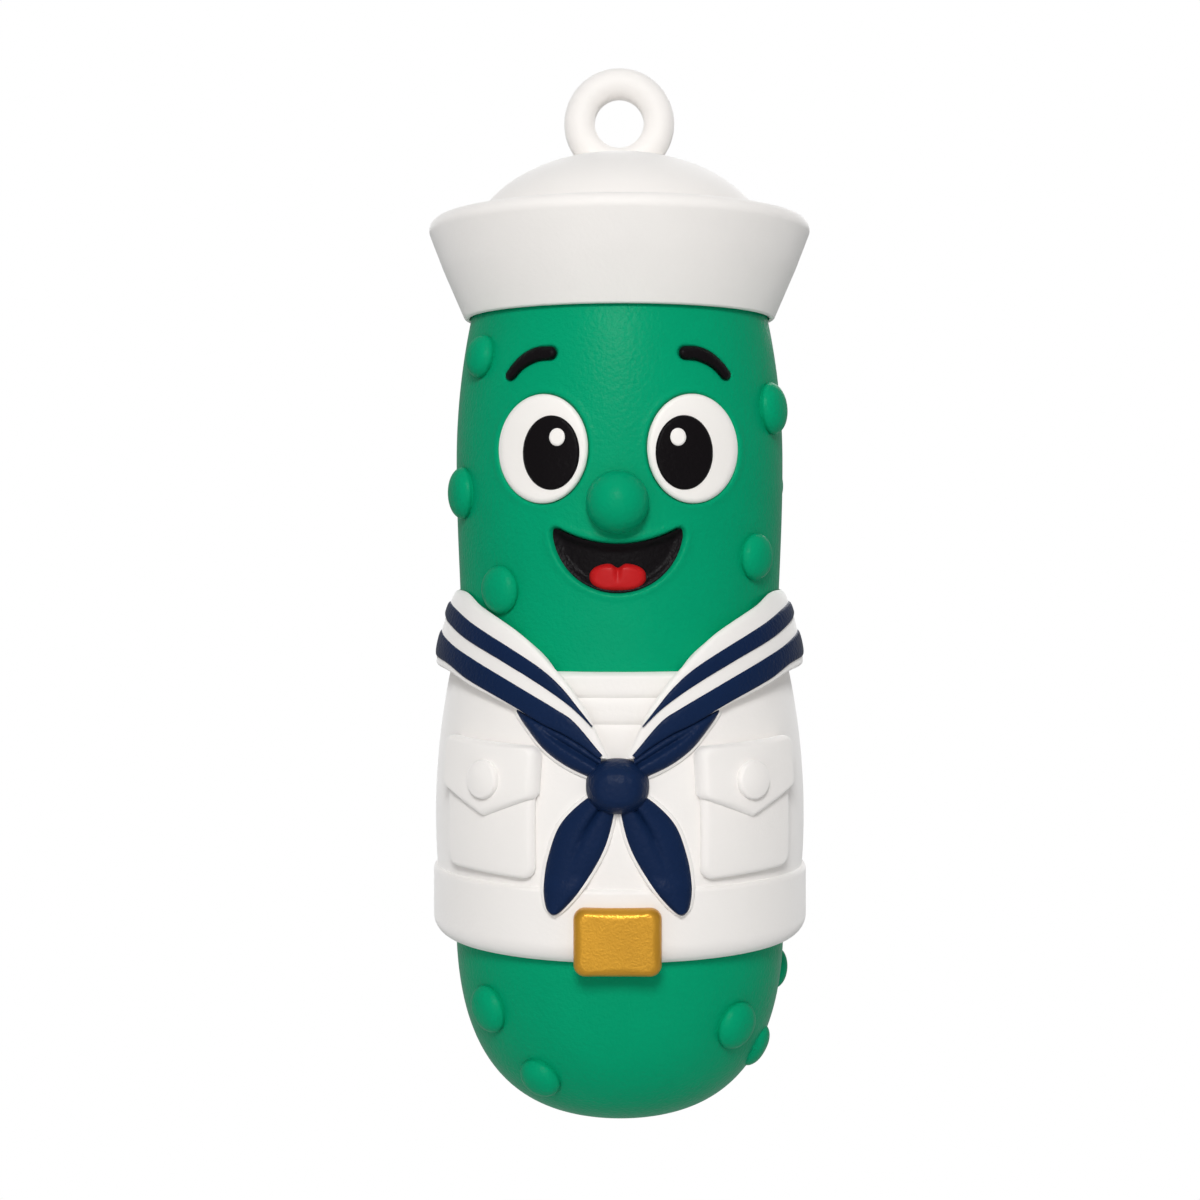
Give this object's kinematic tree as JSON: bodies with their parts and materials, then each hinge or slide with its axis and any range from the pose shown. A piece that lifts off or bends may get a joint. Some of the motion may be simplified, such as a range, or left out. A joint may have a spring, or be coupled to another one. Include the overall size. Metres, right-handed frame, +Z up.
{
  "type": "pickle ornament",
  "caption": "Hanging vinyl pickle figure with a plain toy face, sailor hat that turns on its neck, jumper, collar and neckerchief.",
  "frame": {"origin": "middle of the hole in the hanging loop", "axes": "+Z up along the pickle, -Y the way the face looks, +X to the viewer's right"},
  "size_m": [0.0416, 0.0437, 0.1143],
  "materials": {
    "white_vinyl": "matte, fine grain",
    "green_vinyl": "matte, fine grain",
    "navy_vinyl": "matte, fine grain",
    "black_vinyl": "satin",
    "red_vinyl": "satin",
    "eye_white": "satin",
    "gold_paint": "metallic gold paint on vinyl",
    "steel": "plain"
  },
  "bodies": {
    "hat": {"hanging_loop": "white_vinyl", "loop_retainer": "steel", "hat_crown": "white_vinyl", "hat_cuff": "white_vinyl"},
    "pickle": {"belt_buckle": "gold_paint", "collar": "white_vinyl", "collar_stripe_inner": "navy_vinyl", "collar_stripe_outer": "navy_vinyl", "eye_white_left": "eye_white", "eye_white_right": "eye_white", "eyebrow_left": "black_vinyl", "eyebrow_right": "black_vinyl", "glint_left": "eye_white", "glint_right": "eye_white", "jumper": "white_vinyl", "kerchief_knot": "navy_vinyl", "kerchief_tail_left": "navy_vinyl", "kerchief_tail_right": "navy_vinyl", "kerchief_wing_left": "navy_vinyl", "kerchief_wing_right": "navy_vinyl", "mouth_lining": "black_vinyl", "nose": "green_vinyl", "pickle_body": "green_vinyl", "pocket_button_left": "white_vinyl", "pocket_button_right": "white_vinyl", "pocket_flap_left": "white_vinyl", "pocket_flap_right": "white_vinyl", "pocket_left": "white_vinyl", "pocket_right": "white_vinyl", "pupil_left": "black_vinyl", "pupil_right": "black_vinyl", "tongue": "red_vinyl", "undershirt": "white_vinyl", "waistband": "white_vinyl", "wart_head_1": "green_vinyl", "wart_head_10": "green_vinyl", "wart_head_2": "green_vinyl", "wart_head_3": "green_vinyl", "wart_head_4": "green_vinyl", "wart_head_5": "green_vinyl", "wart_head_6": "green_vinyl", "wart_head_7": "green_vinyl", "wart_head_8": "green_vinyl", "wart_head_9": "green_vinyl", "wart_lower_1": "green_vinyl", "wart_lower_2": "green_vinyl", "wart_lower_3": "green_vinyl", "wart_lower_4": "green_vinyl", "wart_lower_5": "green_vinyl", "wart_lower_6": "green_vinyl", "wart_lower_7": "green_vinyl"}
  },
  "joints": [
    {"name": "neck_turn", "type": "hinge", "parent": "hat", "child": "pickle", "pos_m": [0, 0, -0.0196], "axis": [0, 0, 1], "continuous": true}
  ]
}
